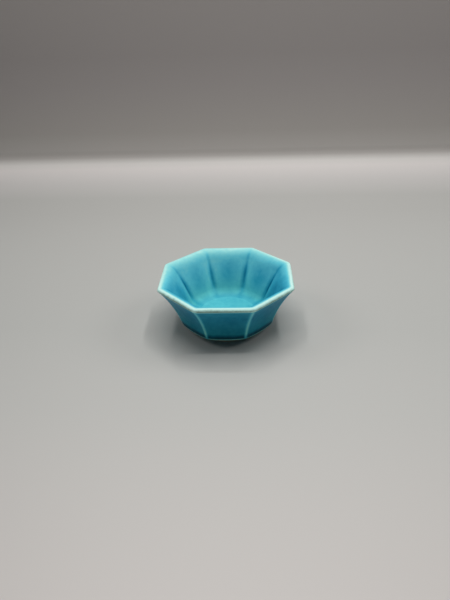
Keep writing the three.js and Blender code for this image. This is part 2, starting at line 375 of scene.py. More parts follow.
class RingLoft:
    """A wall drawn up ring by ring from one circle, each ring pulled to its own eight-sided outline."""

    def __init__(self, name: str, steps: int, crowding: float, coat_limit: float) -> None:
        """Add the first circle, with its vertices moved closer together towards the corners.

        Args:
            name: The name of the piece.
            steps: How many vertices each side has, an even number.
            crowding: Above 1, the vertices lie closer near the corners.
            coat_limit: The thickest coat, in millimetres, which the weights are shares of.
        """
        self.half = steps // 2
        self.coat_limit = coat_limit
        # Painted light and shade over the bowl, which each station takes a share of.
        self.light_drift = LightDrift()
        self.angles = [HALF_SIDE * (i / self.half) ** crowding for i in range(self.half + 1)]
        circle = bpy.ops.mesh.primitive_circle_add
        self.work = Workpiece(name, circle, vertices=SIDES * steps, radius=MM)
        self.group = self.work.body.vertex_groups.new(name=COAT)
        mesh = self.work.mesh
        mesh.verts.layers.float.new(TONE)
        mesh.verts.layers.deform.verify()
        self.work.refresh(rebuilt=True)
        self.classes = self._sort_round()
        self._crowd()
        self.levels = 0

    def _sort_round(self) -> dict[int, list[int]]:
        """Sort the circle's vertices by how many steps they lie from the nearest corner.

        Returns:
            Lists of vertices by their steps, which are below 0 on the clockwise side of a corner.
        """
        classes: dict[int, list[int]] = {}
        for vertex in self.work.mesh.verts:
            turn = math.atan2(vertex.co.y, vertex.co.x) / HALF_SIDE
            nearest = 2 * math.floor(turn / 2) + 1
            step = round((turn - nearest) * self.half)
            classes.setdefault(step, []).append(vertex.index)
        return classes

    def _crowd(self) -> None:
        """Turn the vertices beside the corners towards them."""
        for step, members in self.classes.items():
            even = HALF_SIDE * abs(step) / self.half
            shift = (self.angles[abs(step)] - even) * (1 if step > 0 else -1)
            if abs(shift) > 0:
                self._take(members)
                self.work.turn(shift)

    @property
    def ring(self) -> list[int]:
        """The newest ring's vertices."""
        return [index for members in self.classes.values() for index in members]

    def _take(self, members: Iterable[int]) -> None:
        """Select vertices of the newest ring, and nothing else of it.

        Args:
            members: The vertices to select.
        """
        mesh = self.work.mesh
        wanted = set(members)
        for index in self.ring:
            mesh.verts[index].select_set(index in wanted)
        mesh.select_flush_mode()
        self.work.refresh()

    def _extrude(self) -> None:
        """Extrude the newest ring, and take the new one in its place."""
        self._take(self.ring)
        bpy.ops.mesh.extrude_region_move()
        self.classes = self._match_ring()

    def _match_ring(self) -> dict[int, list[int]]:
        """Sort the new ring's vertices into the classes of those that they were extruded from.

        Returns:
            Lists of the new vertices by their steps from the nearest corner.
        """
        mesh = self.work.mesh
        step_of = {i: step for step, ring in self.classes.items() for i in ring}
        classes: dict[int, list[int]] = {}
        for vertex in mesh.verts:
            if not vertex.select:
                continue
            below = next(
                edge.other_vert(vertex).index
                for edge in vertex.link_edges
                if edge.other_vert(vertex).index in step_of
            )
            classes.setdefault(step_of[below], []).append(vertex.index)
        return classes

    def add(self, station: Station, outward: Vector) -> None:
        """Draw the wall on to one more station, on the face of its glaze.

        Args:
            station: The station of the clay.
            outward: The direction of the glaze's thickness in the profile.
        """
        if self.levels:
            self._extrude()
        self.levels += 1
        for step in range(self.half + 1):
            mirrored = self.classes.get(-step, []) if step else []
            members = self.classes.get(step, []) + mirrored
            angle = self.angles[step]
            plain = station.outline(angle)
            aside = plain * angle
            middle = math.sin(math.pi / 2 * angle / HALF_SIDE) ** 2
            pressed = station.crease * hump(aside, station.crease_width)
            radius = plain + pressed + station.dish * middle
            coat = mix(station.coat, station.corner_coat, hump(aside, CORNER_REACH))
            side_tone = mix(station.flank_tone, station.tone, middle)
            tone = mix(side_tone, station.corner_tone, hump(aside, station.tone_reach))
            self._pull(members, radius + coat * outward.x, station.height + coat * outward.y)
            self._mark(members, tone, coat, station.light_drift)

    def _pull(self, members: list[int], radius: float, height: float) -> None:
        """Bring the vertices of one class to their place.

        Args:
            members: The vertices, which all lie equally far out.
            radius: Their new distance from the axis, in millimetres.
            height: Their new height.
        """
        self._take(members)
        here = self.work.mesh.verts[members[0]].co
        reach = math.hypot(here.x, here.y) / MM
        lift = height - here.z / MM
        self.work.widen(radius / reach)
        self.work.move(0.0, 0.0, lift)

    def _mark(self, members: list[int], tone: float, coat: float, light_drift: float) -> None:
        """Write the glaze's tone, with its share of painted light and shade, and its thickness on vertices.

        Args:
            members: The vertices.
            tone: Their tone, before the bowl's painted light and shade.
            coat: The thickness of their coat, in millimetres.
            light_drift: How much of the bowl's painted light and shade they take.
        """
        mesh = self.work.mesh
        tones = mesh.verts.layers.float[TONE]
        weights = mesh.verts.layers.deform.verify()
        for index in members:
            vertex = mesh.verts[index]
            vertex[tones] = tone + light_drift * self.light_drift.at(vertex.co)
            vertex[weights][self.group.index] = coat / self.coat_limit
        self.work.refresh()

    def close_middle(self) -> None:
        """Draw the last ring together into one point on the axis."""
        self._extrude()
        self._take(self.ring)
        bpy.ops.mesh.merge(type="CENTER")


def thickness_directions(places: Sequence[Vector]) -> list[Vector]:
    """Return the direction of the glaze's thickness at each place of a profile.

    At a bend it is longer than one, so that the coat stays parallel to both stretches.

    Args:
        places: The profile, in the order in which its outer side lies to the right.

    Returns:
        One direction for each place.
    """
    sides = []
    for here, after in zip(places, places[1:]):
        along = (after - here).normalized()
        sides.append(Vector((along.y, -along.x)))
    pairs = zip([sides[0], *sides], [*sides, sides[-1]])
    return [(a + b) / (1 + a.dot(b)) for a, b in pairs]


@dataclass(frozen=True)
class FootSizes:
    """The foot ring's sizes, which the clay ring and the coats beside it share, in millimetres."""

    height: float = 4.3
    top_radius: float = 24.1
    base_radius: float = 23.7
    top_width: float = 3.8
    base_width: float = 3.0
    coat_end: float = 0.9

    def outer_radius(self, height: float) -> float:
        """Return the radius of the ring's outer side at a height."""
        return mix(self.base_radius, self.top_radius, height / self.height)

    def inner_radius(self, height: float) -> float:
        """Return the radius of the foot well at a height."""
        base = self.base_radius - self.base_width
        return mix(base, self.top_radius - self.top_width, height / self.height)


@dataclass(frozen=True)
class WallTones:
    """How deep the glaze looks over the bowl, from 0, pale, to 1, deep. Below 0 the clay shows through.

    A pair of tones is for the two ends of a stretch. Lines, reaches and bands are in millimetres, and so
    is the span of heights where the glaze gathers with its painted shade. The creases' spans are shares of
    the way down the inner wall, and the cove's is a share of its own length. The light_drift values are
    shares of the bowl's painted light and shade. Tones carry painted light and shade as well as the
    glaze's depth. The floor is a list of rings, each with its radius and its tone.
    """

    foot: Pair = (0.45, 0.75)
    wall: float = 0.71
    under_lip: float = 0.66
    under_lip_reach: float = 9.0
    wall_light_drift: float = 0.3
    # Deeper glaze above the turned edge of the outer wall, on its sides and ridges: partly pooling glaze,
    # partly painted shade where the wall turns under.
    pool: float = 1.2
    pool_and_shade_span: Pair = (6.6, 9.6)
    edge: float = -0.12
    edge_line: float = 5.5
    edge_reach: float = 0.45
    ridge: float = 0.26
    pooled_and_shaded_ridge: float = 0.5
    ridge_reach: float = 0.75
    worn: float = -0.13
    worn_band: float = 1.3
    # The crest is pale: partly thin glaze, partly a painted highlight.
    crest: float = 0.05
    crest_band: float = 2.3
    # The lip takes the painted light the other way round: a painted highlight on its front and painted
    # shade at its back.
    lip_light_drift: float = -0.45
    # The shoulder inside is paler near the crest: partly thin glaze, partly a painted highlight.
    shoulder: Pair = (0.35, 0.57)
    side: Pair = (0.58, 0.72)
    flank: float = 0.52
    crease: float = 0.92
    crease_start: float = 0.35
    crease_begin: Pair = (0.0, 0.12)
    crease_fill: Pair = (0.2, 0.6)
    crease_fade: Pair = (0.6, 1.45)
    crease_widen: Pair = (0.78, 1.13)
    crease_reaches: tuple[float, float, float] = (0.9, 1.5, 2.4)
    # The cove is painted deeper than the floor, as painted shade on its slope.
    cove: Pair = (0.55, 0.58)
    cove_span: float = 0.85
    cove_end: float = 0.55
    cove_flank_less: float = 0.04
    floor: tuple[tuple[float, float], ...] = (
        (18.1, 0.5), (17.2, 0.51), (16.0, 0.52), (12.0, 0.5), (6.0, 0.5), (2.0, 0.5),
    )
    floor_light_drift: float = 0.3

    def pooled_in_crease(self, down: float) -> float:
        """Return how much the glaze is pooled in a crease.

        Args:
            down: The share of the way down the inner wall.

        Returns:
            A share from 0 to 1.
        """
        begun = ease_over(self.crease_begin, down)
        filled = mix(self.crease_start, 1.0, ease_over(self.crease_fill, down))
        return begun * filled * (1 - ease_over(self.crease_fade, down))

    def crease_reach(self, down: float, pressed: float) -> float:
        """Return how far a crease's tone reaches beside it, where it is pressed so far, from 0 to 1."""
        shallow, deep, low = self.crease_reaches
        return mix(mix(shallow, deep, pressed), low, ease_over(self.crease_widen, down))


@dataclass
class GlazedWall:
    """The glaze over the bowl, inside and outside in one skin, as it fuses over the lip in the kiln.

    The places where the creases are pressed and where they run out are shares of the way down the inner
    wall, and the coat's growth is a share of the foot ring's height. A wall's foot is its apothem and its
    height there.
    """

    name: str = "turquoise_glaze_skin"
    foot: FootSizes = FootSizes()
    tones: WallTones = WallTones()
    body_height: float = 34.5
    lip_apothem: float = 41.8
    lip_round_width: float = 1.2
    lip_round_drop: float = 1.3
    lip_corner: float = 3.4
    wall_foot: Pair = (28.8, 6.2)
    foot_swell: float = 0.42
    swell_rise: float = 8.0
    outer_bow: float = 3.0
    bow_rise: float = 1.5
    underside_apothem: float = 25.2
    ridge: float = 1.4
    shoulder_width: float = 6.8
    shoulder_drop: float = 4.8
    inner_foot: Pair = (24.7, 11.7)
    inner_bow: float = 1.0
    inner_corner: float = 5.0
    side_dish: float = 0.3
    crease_depth: float = 1.0
    crease_top_reach: float = 0.8
    crease_reach: float = 1.4
    crease_press: Pair = (0.0, 0.6)
    crease_run_out: Pair = (0.85, 1.15)
    floor_radius: float = 18.6
    floor_height: float = 7.3
    floor_edge_rise: float = 1.1
    coat_on_lip: float = 0.2
    coat_on_outside: float = 0.32
    coat_on_ridge: float = 0.14
    coat_on_inner_wall: float = 0.36
    coat_in_crease: float = 0.65
    coat_on_cove: float = 0.5
    coat_on_floor: float = 0.6
    coat_on_foot: float = 0.26
    coat_edge: float = 0.12
    coat_growth: float = 0.2
    foot_shares: tuple[float, ...] = (0.0, 0.06, 0.2, 0.5, 0.85, 1.0)
    turn_steps: int = 6
    wall_steps: int = 16
    lip_steps: int = 6
    shoulder_steps: int = 8
    inner_steps: int = 14
    cove_steps: int = 9
    steps_per_side: int = 12
    crowding: float = 2.0
    nodes: tuple[str, ...] = ("inside_glaze", "outside_glaze")

    @property
    def crest_apothem(self) -> float:
        """The apothem of the lip's highest line."""
        return self.lip_apothem - self.lip_round_width

    def foot_stations(self) -> list[Station]:
        """List the foot ring's outer side, from the thin end of the coat up to the body.

        Returns:
            The stations, from the lowest up.
        """
        stations = []
        for share in self.foot_shares:
            height = mix(self.foot.coat_end, self.foot.height, share)
            radius = self.foot.outer_radius(height)
            coat = mix(self.coat_edge, self.coat_on_foot, min(1.0, share / self.coat_growth))
            tone = mix(*self.tones.foot, share)
            stations.append(even_station(radius, height, radius, coat, tone))
        return stations

    def outside_stations(self) -> list[Station]:
        """List the underside, the turned edge, the flared wall and the round of the lip.

        Returns:
            The stations, from the foot ring out and up.
        """
        foot = Vector(self.wall_foot)
        lip_edge = Vector((self.lip_apothem, self.body_height - self.lip_round_drop))
        control = bowed_slope(foot, lip_edge, self.outer_bow, self.bow_rise)
        under_edge = Vector((self.underside_apothem, self.foot.height))
        turn = level_control(foot, control - foot, self.foot.height)
        under = bend(foot, turn, under_edge, self.turn_steps)
        stations = [self._outer(place, self.ridge, 0.0) for _, place in reversed(under)]
        for share, place in bend(foot, control, lip_edge, self.wall_steps)[1:]:
            up = ease(share) ** 2
            stations.append(self._outer(place, mix(self.ridge, self.lip_corner, up), up))
        for i in range(1, self.lip_steps):
            angle = i / self.lip_steps * math.pi / 2
            apothem = self.crest_apothem + self.lip_round_width * math.cos(angle)
            height = self.body_height - self.lip_round_drop * (1 - math.sin(angle))
            tone = mix(self.tones.worn, self.tones.crest, math.sqrt(i / self.lip_steps))
            stations.append(self._lip(apothem, height, tone))
        return stations

    def _outer(self, place: Vector, corner: float, up: float) -> Station:
        """Return one station of the outer wall.

        Args:
            place: Its apothem and height.
            corner: The radius of its corners.
            up: How far it has come from the wall's foot, at 0, to the lip, at 1.

        Returns:
            The station, with the glaze thin on its ridges, and pooling above the turned edge, where it is
            also painted deeper as painted shade.
        """
        look = self.tones
        below_lip = self.body_height - self.lip_round_drop - place.y
        worn = 1 - ease(below_lip / look.worn_band)
        under_lip = 1 - ease(below_lip / look.under_lip_reach)
        in_sight = ease_over((self.foot.height, look.edge_line), place.y)
        # Where the wall is in sight above its turned edge the glaze is deeper: partly pooling glaze, partly
        # painted shade.
        pooled_and_shaded = in_sight * (1 - ease_over(look.pool_and_shade_span, place.y))
        tone = mix(mix(look.wall, look.under_lip, under_lip), look.pool, pooled_and_shaded)
        at_edge = hump(place.y - look.edge_line, look.edge_reach)
        tone = mix(mix(tone, look.worn, worn), look.edge, at_edge)
        ridge_tone = mix(look.ridge, look.pooled_and_shaded_ridge, pooled_and_shaded)
        above_foot = (place.y - self.wall_foot[1]) / self.swell_rise
        return Station(
            place.x,
            place.y,
            corner,
            swell=self.foot_swell * (1 - ease(above_foot)),
            coat=mix(self.coat_on_outside, self.coat_on_lip, up),
            corner_coat=mix(self.coat_on_ridge, self.coat_on_lip, up),
            tone=tone,
            flank_tone=tone,
            corner_tone=mix(tone, ridge_tone, in_sight),
            tone_reach=look.ridge_reach,
            light_drift=mix(look.wall_light_drift, look.lip_light_drift, worn),
        )

    def _lip(self, apothem: float, height: float, tone: float) -> Station:
        """Return one station of the lip, with a thin and even coat."""
        # The lip takes its share of the painted light and shade: a painted highlight on its front.
        light_drift = self.tones.lip_light_drift
        return even_station(apothem, height, self.lip_corner, self.coat_on_lip, tone, light_drift)

    def inside_stations(self) -> list[Station]:
        """List the crest, the shoulder, the creased inner wall, the cove and the round floor.

        Returns:
            The stations, from the crest in and down.
        """
        look = self.tones
        inner_foot = Vector(self.inner_foot)
        crest = Vector((self.crest_apothem, self.body_height))
        reach = self.crest_apothem - self.shoulder_width
        shoulder_foot = Vector((reach, self.body_height - self.shoulder_drop))
        control = bowed_slope(inner_foot, shoulder_foot, self.inner_bow, 0.0)
        over = level_control(shoulder_foot, shoulder_foot - control, self.body_height)
        stations = [self._lip(self.crest_apothem, self.body_height, look.crest)]
        for share, place in bend(crest, over, shoulder_foot, self.shoulder_steps)[1:]:
            down = ease(share)
            # Near the crest the glaze is paler: partly thin glaze, partly a painted highlight.
            pale = 1 - ease((crest.x - place.x) / look.crest_band)
            corner = mix(self.lip_corner, self.inner_corner, down)
            coat = mix(self.coat_on_lip, self.coat_on_inner_wall, down)
            tone = mix(mix(*look.shoulder, down), look.crest, pale)
            light_drift = mix(1.0, look.lip_light_drift, pale)
            stations.append(self._inner(place, corner, coat, (tone, tone), light_drift))
        for share, place in bend(shoulder_foot, control, inner_foot, self.inner_steps)[1:]:
            middle = math.sin(math.pi * share)
            tones = (mix(*look.side, middle), look.flank)
            dish = self.side_dish * middle
            coat = self.coat_on_inner_wall
            stations.append(self._inner(place, self.inner_corner, coat, tones, 1.0, dish))
        return stations + self._floor_stations(inner_foot, control)

    def _floor_stations(self, inner_foot: Vector, control: Vector) -> list[Station]:
        """List the cove, where the eight sides run out into a circle, and the floor.

        Args:
            inner_foot: The foot of the inner wall.
            control: The control point of the inner wall's slope.

        Returns:
            The stations, from the wall's foot in.
        """
        look = self.tones
        edge = Vector((self.floor_radius, self.floor_height))
        aim_height = self.floor_height + self.floor_edge_rise
        aim = level_control(inner_foot, inner_foot - control, aim_height)
        stations = []
        for share, place in bend(inner_foot, aim, edge, self.cove_steps)[1:]:
            down = ease(share)
            corner = mix(self.inner_corner, place.x, down)
            coat = mix(self.coat_on_cove, self.coat_on_floor, down)
            # The cove's tones are painted shade, deeper than the floor's.
            tone = mix(*look.cove, down) if share < look.cove_span else look.cove_end
            tones = (tone, tone - look.cove_flank_less)
            light_drift = mix(1.0, look.floor_light_drift, down)
            stations.append(self._inner(place, corner, coat, tones, light_drift))
        height, coat, light_drift = self.floor_height, self.coat_on_floor, look.floor_light_drift
        for radius, tone in look.floor:
            stations.append(even_station(radius, height, radius, coat, tone, light_drift))
        return stations

    def _inner(
        self, place: Vector, corner: float, coat: float, tones: Pair, light_drift: float, dish: float = 0.0
    ) -> Station:
        """Return one station of the creased inside.

        Args:
            place: Its apothem and height.
            corner: The radius of its corners.
            coat: The glaze over its sides.
            tones: The glaze's tone at the middle of a side and beside the crease.
            light_drift: How much of the bowl's painted light and shade it takes.
            dish: How far its sides are hollowed.

        Returns:
            The station, with the glaze pooling in its creases.
        """
        down = (self.body_height - place.y) / (self.body_height - self.inner_foot[1])
        pressed = ease_over(self.crease_press, down) * (1 - ease_over(self.crease_run_out, down))
        return Station(
            place.x,
            place.y,
            corner,
            crease=self.crease_depth * pressed,
            crease_width=mix(self.crease_top_reach, self.crease_reach, pressed),
            dish=dish,
            coat=coat,
            corner_coat=mix(coat, self.coat_in_crease, pressed),
            tone=tones[0],
            flank_tone=tones[1],
            corner_tone=mix(tones[1], self.tones.crease, self.tones.pooled_in_crease(down)),
            tone_reach=self.tones.crease_reach(down, pressed),
            light_drift=light_drift,
        )

    def build(self, finish: GlazeFinish) -> None:
        """Model the skin, dress it and tie it to the frame.

        Args:
            finish: The glaze's finish.
        """
        profile = [*self.foot_stations(), *self.outside_stations(), *self.inside_stations()]
        loft = RingLoft(self.name, self.steps_per_side, self.crowding, self.coat_in_crease)
        directions = thickness_directions([station.place for station in profile])
        for station, outward in zip(profile, directions):
            loft.add(station, outward)
        loft.close_middle()
        work = loft.work
        work.face_out()
        work.modify("SUBSURF", "fine surface", {"levels": 1, "render_levels": 1})
        coat = {"thickness": self.coat_in_crease * MM, "offset": -1.0, "vertex_group": COAT}
        work.modify("SOLIDIFY", "coat down to the clay", {**coat, "use_even_offset": True})
        settle(work, finish, Slot.GLAZE_INSIDE, self.nodes)


@dataclass
class FootRing:
    """The round ring of bare clay that the bowl stands on."""

    name: str = "foot_ring_clay"
    foot: FootSizes = FootSizes()
    edge_round: float = 0.6
    round_steps: int = 4
    vertices: int = 128
    nodes: tuple[str, ...] = ("foot_ring",)

    def build(self, finish: ClayFinish) -> None:
        """Turn a cylinder into the ring, dress it and tie it to the frame.

        Args:
            finish: The bare clay's finish.
        """
        foot = self.foot
        work = Workpiece(
            self.name,
            bpy.ops.mesh.primitive_cylinder_add,
            vertices=self.vertices,
            radius=foot.base_radius * MM,
            depth=foot.height * MM,
        )
        work.choose_all()
        work.move(0.0, 0.0, foot.height / 2)
        work.choose(Pick.FACE, lambda face: face.normal.z > LEVEL)
        work.widen(foot.top_radius / foot.base_radius)
        bpy.ops.mesh.inset(thickness=foot.top_width * MM)
        work.choose(Pick.FACE, lambda face: face.normal.z < -LEVEL)
        bpy.ops.mesh.inset(thickness=foot.base_width * MM)
        work.choose(Pick.FACE, lambda face: len(face.verts) == self.vertices)
        bpy.ops.mesh.delete(type="ONLY_FACE")
        work.choose(Pick.EDGE, lambda edge: edge.is_boundary)
        bpy.ops.mesh.bridge_edge_loops()
        low = SLACK * MM
        work.choose(
            Pick.EDGE,
            lambda edge: all(v.co.z < low for v in edge.verts)
            and abs(edge.verts[0].co.length - edge.verts[1].co.length) < low,
        )
        bpy.ops.mesh.bevel(offset=self.edge_round * MM, segments=self.round_steps)
        work.face_out()
        settle(work, finish, Slot.FOOT_CLAY, self.nodes)


@dataclass
class FootWellGlaze:
    """The coat of glaze inside the foot ring, whose mesh has rings of these widths from its edge in."""

    name: str = "foot_well_glaze_skin"
    foot: FootSizes = FootSizes()
    coat: float = 0.26
    tone: float = 0.4
    edge_round: float = 0.5
    round_steps: int = 4
    vertices: int = 128
    rings: tuple[float, ...] = (0.9, 1.6, 4.0, 6.0)
    nodes: tuple[str, ...] = ("foot_well_glaze",)

    def build(self, finish: GlazeFinish) -> None:
        """Turn a disc into the coat, dress it and tie it to the frame.

        Args:
            finish: The glaze's finish.
        """
        height, coat_end = self.foot.height, self.foot.coat_end
        top_radius = self.foot.inner_radius(height)
        work = Workpiece(
            self.name,
            bpy.ops.mesh.primitive_circle_add,
            vertices=self.vertices,
            radius=top_radius * MM,
            fill_type="NGON",
        )
        mesh = work.mesh
        tones = mesh.verts.layers.float.new(TONE)
        for vertex in mesh.verts:
            vertex[tones] = self.tone
        work.refresh(rebuilt=True)
        work.choose_all()
        work.move(0.0, 0.0, height)
        for width in self.rings:
            bpy.ops.mesh.inset(thickness=width * MM)
        bpy.ops.mesh.poke()
        work.choose(Pick.EDGE, lambda edge: edge.is_boundary)
        bpy.ops.mesh.extrude_region_move()
        work.move(0.0, 0.0, coat_end - height)
        work.widen(self.foot.inner_radius(coat_end) / top_radius)
        low, reach = (height - SLACK) * MM, (top_radius - SLACK) * MM
        work.choose(
            Pick.EDGE,
            lambda edge: all(v.co.z > low and v.co.xy.length > reach for v in edge.verts),
        )
        bpy.ops.mesh.bevel(offset=self.edge_round * MM, segments=self.round_steps)
        work.face_out(top_up=False)
        work.modify("SOLIDIFY", "coat", {"thickness": self.coat * MM, "offset": 1.0})
        settle(work, finish, Slot.GLAZE_WELL, self.nodes)


def operator(operation: str, swapped: bool = False) -> Callable[[Signal, Any], Signal]:
    """Make a method of Signal that adds a Math node.

    Args:
        operation: The node's operation.
        swapped: Whether the signal itself is the node's second value.

    Returns:
        The method, which takes the other value.
    """

    def method(self: Signal, other: Any) -> Signal:
        """Add the node."""
        first, second = (other, self) if swapped else (self, other)
        return self.graph.add("ShaderNodeMath", {"operation": operation}, {0: first, 1: second})

    return method


class Signal:
    """A socket of a shader, wrapped so that shader maths reads as an ordinary expression."""

    def __init__(self, graph: Graph, socket: bpy.types.NodeSocket) -> None:
        """Wrap one output socket of a graph."""
        self.graph = graph
        self.socket = socket

    __add__ = __radd__ = operator("ADD")
    __sub__ = operator("SUBTRACT")
    __rsub__ = operator("SUBTRACT", swapped=True)
    __mul__ = operator("MULTIPLY")
    __pow__ = operator("POWER")
    at_least = operator("MAXIMUM")


class Graph:
    """The node tree of one material or of the world."""

    def __init__(self, tree: bpy.types.NodeTree) -> None:
        """Empty a node tree and take it over."""
        self.tree = tree
        tree.nodes.clear()

    def add(
        self,
        kind: str,
        settings: dict[str, Any] | None = None,
        inputs: dict[str | int, Any] | None = None,
        output: str | int = 0,
    ) -> Signal:
        """Add one node.

        Args:
            kind: The node's type.
            settings: Its settings by name, set first. A ramp's stops are given as "stops".
            inputs: The values or signals of its sockets, by name or place.
            output: Which of its outputs is returned.

        Returns:
            The chosen output, or the node's first one.
        """
        node = self.tree.nodes.new(kind)
        for setting, value in (settings or {}).items():
            if setting == "stops":
                self._set_stops(node.color_ramp, value)
            else:
                setattr(node, setting, value)
        for key, value in (inputs or {}).items():
            if isinstance(value, Signal):
                self.tree.links.new(value.socket, node.inputs[key])
            else:
                node.inputs[key].default_value = value
        return Signal(self, node.outputs[output]) if node.outputs else None

    @staticmethod
    def _set_stops(
        ramp: bpy.types.ColorRamp, stops: Sequence[tuple[float, Sequence[float]]]
    ) -> None:
        """Give a ramp its stops.

        Args:
            ramp: The ramp, which has two stops at first.
            stops: Places from 0 to 1, each with a linear colour.
        """
        while len(ramp.elements) < len(stops):
            ramp.elements.new(1.0)
        for element, (place, colour) in zip(ramp.elements, stops):
            element.position = place
            element.color = colour

    def noise(self, place: Signal, mottle: Mottle) -> Signal:
        """Add noise, near 0.5 on average.

        Args:
            place: The coordinates that it is read at.
            mottle: The size of its spots and its detail.

        Returns:
            The noise.
        """
        scale = 1.0 / (mottle.size * MM)
        inputs = {"Vector": place, "Scale": scale, "Detail": mottle.detail}
        return self.add("ShaderNodeTexNoise", {"noise_dimensions": "3D"}, inputs)

    def ramp(self, stops: Sequence[tuple[float, Sequence[float]]], at: Signal) -> Signal:
        """Add a colour ramp, whose stops are places and linear colours, and read it at a value."""
        return self.add("ShaderNodeValToRGB", {"stops": stops}, {0: at})

    def multiply(self, colour: Signal, other: Signal) -> Signal:
        """Multiply a colour by another one."""
        settings = {"data_type": "RGBA", "blend_type": "MULTIPLY"}
        return self.add("ShaderNodeMix", settings, {0: 1.0, 6: colour, 7: other}, output=2)

    def bump(self, height: Signal, depth: float) -> Signal:
        """Turn a height into bumps that are a number of millimetres deep."""
        inputs = {"Strength": 1.0, "Distance": depth * MM, "Height": height}
        return self.add("ShaderNodeBump", None, inputs)


@dataclass(frozen=True)
class Mottle:
    """One noise: the width of its spots in millimetres, how much finer noise is on it, and its effect."""

    size: float
    detail: float
    play: float = 0.0


@dataclass(frozen=True)
class Finish:
    """A finish that pieces share. Its material is made once."""

    name: str

    def surface(self, graph: Graph, place: Signal) -> dict[str, Any]:
        """Return the shader's inputs by their names, for a point's place on the object."""
        raise NotImplementedError

    def material(self) -> bpy.types.Material:
        """Make the finish's material at the first call.

        Returns:
            The one material that all its pieces share.
        """
        known = bpy.data.materials.get(self.name)
        if known:
            return known
        material = bpy.data.materials.new(self.name)
        material.use_nodes = True
        graph = Graph(material.node_tree)
        place = graph.add("ShaderNodeTexCoord", output="Object")
        shader = graph.add("ShaderNodeBsdfPrincipled", None, self.surface(graph, place))
        graph.add("ShaderNodeOutputMaterial", None, {"Surface": shader})
        return material


@dataclass(frozen=True)
class GlazeFinish(Finish):
    """The turquoise glaze: pale where it runs thin, deep where it pools, with a soft gloss. Its tones also
    carry painted light and shade.

    Stops are its tones, and its colours on the screen at them. Below a tone of 0 the coat is so thin that
    the clay shows through. The palest stops are partly a painted highlight on the lip's crest. The blue
    shares say how much of its blue is left at each height, in millimetres: the glaze looks greener low on
    the walls, and the cut of blue nearest the floor is painted to match the colour of the shade there.
    """

    name: str = "turquoise_glaze"
    # Near white at 0 and below: partly thin glaze, partly a painted highlight on the crest.
    stops: ScreenStops = (
        (-0.2, (124, 162, 149)), (-0.06, (203, 249, 241)),
        (0.0, (214, 253, 246)), (0.1, (190, 243, 237)), (0.2, (154, 231, 231)),
        (0.4, (105, 210, 226)), (0.6, (57, 173, 203)), (0.8, (19, 131, 166)),
        (1.0, (4, 84, 110)), (1.2, (0, 42, 56)),
    )
    thinnest: float = -0.2
    deepest: float = 1.2
    roughness: float = 0.4
    roughness_play: float = 0.12
    ior: float = 1.5
    specular: float = 0.09
    clouds: Mottle = Mottle(14.0, 2.0, 0.16)
    mottle: Mottle = Mottle(2.6, 3.0, 0.12)
    flecks: Mottle = Mottle(0.5, 1.0, 0.05)
    peel: Mottle = Mottle(1.1, 2.0)
    peel_depth: float = 0.012
    # Less blue low down; the cut nearest the floor is painted to match the colour of the shade there.
    blue_shares: tuple[tuple[float, float], ...] = (
        (7.2, 0.86), (8.0, 0.91), (9.6, 0.85), (12.0, 0.87), (18.0, 0.93), (26.0, 1.0),
    )
    full_height: float = 35.0

    def surface(self, graph: Graph, place: Signal) -> dict[str, Any]:
        """Make the shader's inputs, from the tone that the piece carries at each point.

        Args:
            graph: The material's node tree.
            place: The point's place on the object.

        Returns:
            Values and signals by the names of the inputs.
        """
        tone = graph.add("ShaderNodeAttribute", {"attribute_name": TONE}, output="Fac")
        clouds = graph.noise(place, self.clouds)
        mottle = graph.noise(place, self.mottle)
        flecks = graph.noise(place, self.flecks)
        depth = (
            tone
            + (clouds - NOISE_MIDDLE) * self.clouds.play
            + (mottle - NOISE_MIDDLE) * self.mottle.play
            + (flecks - NOISE_MIDDLE) * self.flecks.play
        )
        span = self.deepest - self.thinnest
        stops = [((at - self.thinnest) / span, linear(*level)) for at, level in self.stops]
        colour = graph.ramp(stops, (depth - self.thinnest) * (1.0 / span))
        height = graph.add("ShaderNodeSeparateXYZ", None, {0: place}, "Z")
        tints = [(at / self.full_height, (1.0, 1.0, share, 1.0)) for at, share in self.blue_shares]
        tint = graph.ramp(tints, height * (1.0 / (self.full_height * MM)))
        return {
            "Base Color": graph.multiply(colour, tint),
            "Roughness": self.roughness + (mottle - NOISE_MIDDLE) * self.roughness_play,
            "IOR": self.ior,
            "Specular IOR Level": self.specular,
            "Normal": graph.bump(graph.noise(place, self.peel), self.peel_depth),
        }


@dataclass(frozen=True)
class ClayFinish(Finish):
    """Fired pale clay, matt, with fine grit. Stops are amounts of grit, and colours on the screen."""

    name: str = "pale_fired_clay"
    stops: ScreenStops = (
        (0.25, (186, 168, 140)), (0.45, (214, 202, 180)), (0.75, (230, 221, 203)),
    )
    grit: Mottle = Mottle(0.6, 4.0, 0.15)
    stain: Mottle = Mottle(6.0, 2.0)
    grit_share: float = 0.6
    roughness: float = 0.82
    grit_depth: float = 0.03

    def surface(self, graph: Graph, place: Signal) -> dict[str, Any]:
        """Make the shader's inputs, from grit and larger stains.

        Args:
            graph: The material's node tree.
            place: The point's place on the object.

        Returns:
            Values and signals by the names of the inputs.
        """
        grit = graph.noise(place, self.grit)
        stain = graph.noise(place, self.stain)
        stops = [(at, linear(*level)) for at, level in self.stops]
        return {
            "Base Color": graph.ramp(stops, grit * self.grit_share + stain * (1 - self.grit_share)),
            "Roughness": self.roughness + (grit - NOISE_MIDDLE) * self.grit.play,
            "Normal": graph.bump(grit, self.grit_depth),
        }


